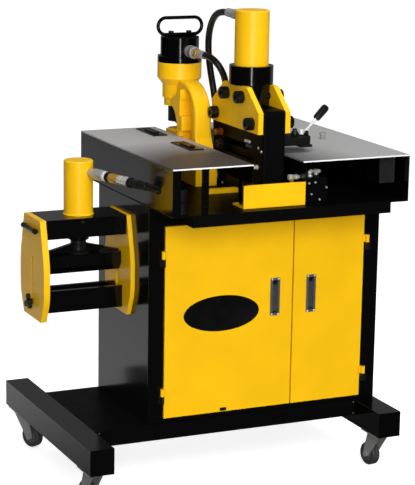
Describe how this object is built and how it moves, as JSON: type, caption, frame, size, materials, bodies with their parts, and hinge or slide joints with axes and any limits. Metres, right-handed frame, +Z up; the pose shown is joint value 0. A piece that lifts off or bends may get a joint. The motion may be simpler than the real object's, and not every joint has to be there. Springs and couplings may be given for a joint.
{
  "type": "busbar processing machine",
  "caption": "Wheeled black cabinet with yellow doors carrying hydraulic shear, punch and bender heads, steel table tops and swivel casters, for cutting, punching and bending flat copper bar.",
  "frame": {"origin": "on the floor under the middle of the machine's footprint", "axes": "+X to the machine's right, +Y to its back, +Z up"},
  "size_m": [0.787, 0.5526, 1.028],
  "materials": {
    "black_coat": "glossy black powder coat",
    "yellow_coat": "glossy yellow powder coat",
    "table_steel": "satin ground steel",
    "tool_steel": "ground tool steel",
    "dark_steel": "black oxide steel",
    "zinc": "bright zinc plate",
    "lock_cast": "grey die-cast metal",
    "tyre_grey": "matte grey rubber",
    "hose_rubber": "black hose rubber",
    "grey_plastic": "grey moulded plastic",
    "black_plastic": "black moulded plastic"
  },
  "bodies": {
    "frame": {"base_tray": "black_coat", "bender_cylinder": "yellow_coat", "bender_hose": "hose_rubber", "bender_plates": "yellow_coat", "bender_top_beam": "black_coat", "cabinet_shell": "black_coat", "cable_gland": "black_plastic", "caster_plates": "zinc", "clamp_arm": "black_coat", "control_box": "grey_plastic", "deck_plate": "black_coat", "die_beam": "black_coat", "door_hinges": "dark_steel", "front_frame": "black_coat", "hose_fittings": "zinc", "keeper_bar": "dark_steel", "left_table_box": "black_coat", "left_table_top": "table_steel", "power_unit": "black_coat", "punch_bar": "yellow_coat", "punch_cap": "black_coat", "punch_die": "yellow_coat", "punch_frame": "yellow_coat", "punch_handle": "black_coat", "punch_hose": "hose_rubber", "right_table_box": "black_coat", "right_table_top": "table_steel", "shear_body": "black_coat", "shear_cylinder": "yellow_coat", "shear_guard": "yellow_coat", "shear_hose": "hose_rubber", "shear_lower_blade": "tool_steel", "shear_neck": "black_coat", "shear_screws": "dark_steel", "shear_side_plates": "yellow_coat", "skids": "black_coat", "table_inserts": "dark_steel", "valve_block": "dark_steel"},
    "fork_front_left": {"caster_fork_front_left": "zinc"},
    "wheel_front_left": {"caster_wheel_front_left": "tyre_grey"},
    "fork_front_right": {"caster_fork_front_right": "zinc"},
    "wheel_front_right": {"caster_wheel_front_right": "tyre_grey"},
    "fork_rear_left": {"caster_fork_rear_left": "zinc"},
    "wheel_rear_left": {"caster_wheel_rear_left": "tyre_grey"},
    "fork_rear_right": {"caster_fork_rear_right": "zinc"},
    "wheel_rear_right": {"caster_wheel_rear_right": "tyre_grey"},
    "left_door": {"left_door": "yellow_coat", "left_lock_body": "lock_cast"},
    "right_door": {"right_door": "yellow_coat", "right_lock_body": "lock_cast"},
    "left_lever": {"left_lock_lever": "lock_cast"},
    "right_lever": {"right_lock_lever": "lock_cast"},
    "shear_ram": {"shear_ram": "tool_steel"},
    "punch_ram": {"punch_ram": "dark_steel"},
    "bender_ram": {"bender_ram": "dark_steel", "press_beam": "black_coat"},
    "stop_slider": {"stop_slider": "dark_steel"},
    "stop_knob": {"stop_knob": "black_plastic"},
    "clamp_lever": {"clamp_lever": "zinc"},
    "clamp_pad": {"clamp_pad": "dark_steel"}
  },
  "joints": [
    {"name": "swivel_front_left", "type": "hinge", "parent": "frame", "child": "fork_front_left", "pos_m": [-0.3215, -0.2257, 0.08], "axis": [0, 0, 1], "continuous": true},
    {"name": "roll_front_left", "type": "hinge", "parent": "fork_front_left", "child": "wheel_front_left", "pos_m": [-0.3254, -0.19797, 0.026], "axis": [0.9903, 0.1392, 0], "continuous": true},
    {"name": "swivel_front_right", "type": "hinge", "parent": "frame", "child": "fork_front_right", "pos_m": [0.3665, -0.2257, 0.08], "axis": [0, 0, 1], "continuous": true},
    {"name": "roll_front_right", "type": "hinge", "parent": "fork_front_right", "child": "wheel_front_right", "pos_m": [0.36212, -0.19804, 0.026], "axis": [0.9877, 0.1564, 0], "continuous": true},
    {"name": "swivel_rear_left", "type": "hinge", "parent": "frame", "child": "fork_rear_left", "pos_m": [-0.3215, 0.2283, 0.08], "axis": [0, 0, 1], "continuous": true},
    {"name": "roll_rear_left", "type": "hinge", "parent": "fork_rear_left", "child": "wheel_rear_left", "pos_m": [-0.30879, 0.20335, 0.026], "axis": [-0.891, -0.454, 0], "continuous": true},
    {"name": "swivel_rear_right", "type": "hinge", "parent": "frame", "child": "fork_rear_right", "pos_m": [0.3665, 0.2283, 0.08], "axis": [0, 0, 1], "continuous": true},
    {"name": "roll_rear_right", "type": "hinge", "parent": "fork_rear_right", "child": "wheel_rear_right", "pos_m": [0.34225, 0.2423, 0.026], "axis": [0.5, 0.866, 0], "continuous": true},
    {"name": "left_door_hinge", "type": "hinge", "parent": "frame", "child": "left_door", "pos_m": [-0.1385, -0.16, 0.4], "axis": [0, 0, -1], "range_deg": [0, 110]},
    {"name": "right_door_hinge", "type": "hinge", "parent": "frame", "child": "right_door", "pos_m": [0.3575, -0.16, 0.4], "axis": [0, 0, 1], "range_deg": [0, 110]},
    {"name": "left_lock_pull", "type": "hinge", "parent": "left_door", "child": "left_lever", "pos_m": [0.1315, -0.1517, 0.3728], "axis": [1, 0, 0], "range_deg": [0, 40]},
    {"name": "right_lock_pull", "type": "hinge", "parent": "right_door", "child": "right_lever", "pos_m": [0.2205, -0.1517, 0.3728], "axis": [1, 0, 0], "range_deg": [0, 40]},
    {"name": "shear_stroke", "type": "slide", "parent": "frame", "child": "shear_ram", "axis": [0, 0, -1], "range_m": [0, 0.019], "stiffness_N_per_m": 1000, "springref_m": -0.06},
    {"name": "punch_stroke", "type": "slide", "parent": "frame", "child": "punch_ram", "axis": [0, 0, -1], "range_m": [0, 0.015], "stiffness_N_per_m": 1000, "springref_m": -0.05},
    {"name": "bend_stroke", "type": "slide", "parent": "frame", "child": "bender_ram", "axis": [0, 0, -1], "range_m": [0, 0.032], "stiffness_N_per_m": 1500, "springref_m": -0.06},
    {"name": "stop_height", "type": "slide", "parent": "frame", "child": "stop_slider", "axis": [0, 0, 1], "range_m": [0, 0.094]},
    {"name": "stop_knob_turn", "type": "hinge", "parent": "stop_slider", "child": "stop_knob", "pos_m": [-0.3855, 0.0003, 0.402], "axis": [1, 0, 0], "continuous": true},
    {"name": "clamp_lever_turn", "type": "hinge", "parent": "frame", "child": "clamp_lever", "pos_m": [0.2005, -0.1437, 0.7665], "axis": [0, -1, 0], "range_deg": [0, 45]},
    {"name": "clamp_press", "type": "slide", "parent": "frame", "child": "clamp_pad", "axis": [0, 0, -1], "range_m": [0, 0.0032]}
  ],
  "couplings": [
    {"joint": "clamp_press", "follows": "clamp_lever_turn", "m_per_rad": 0.00382}
  ]
}
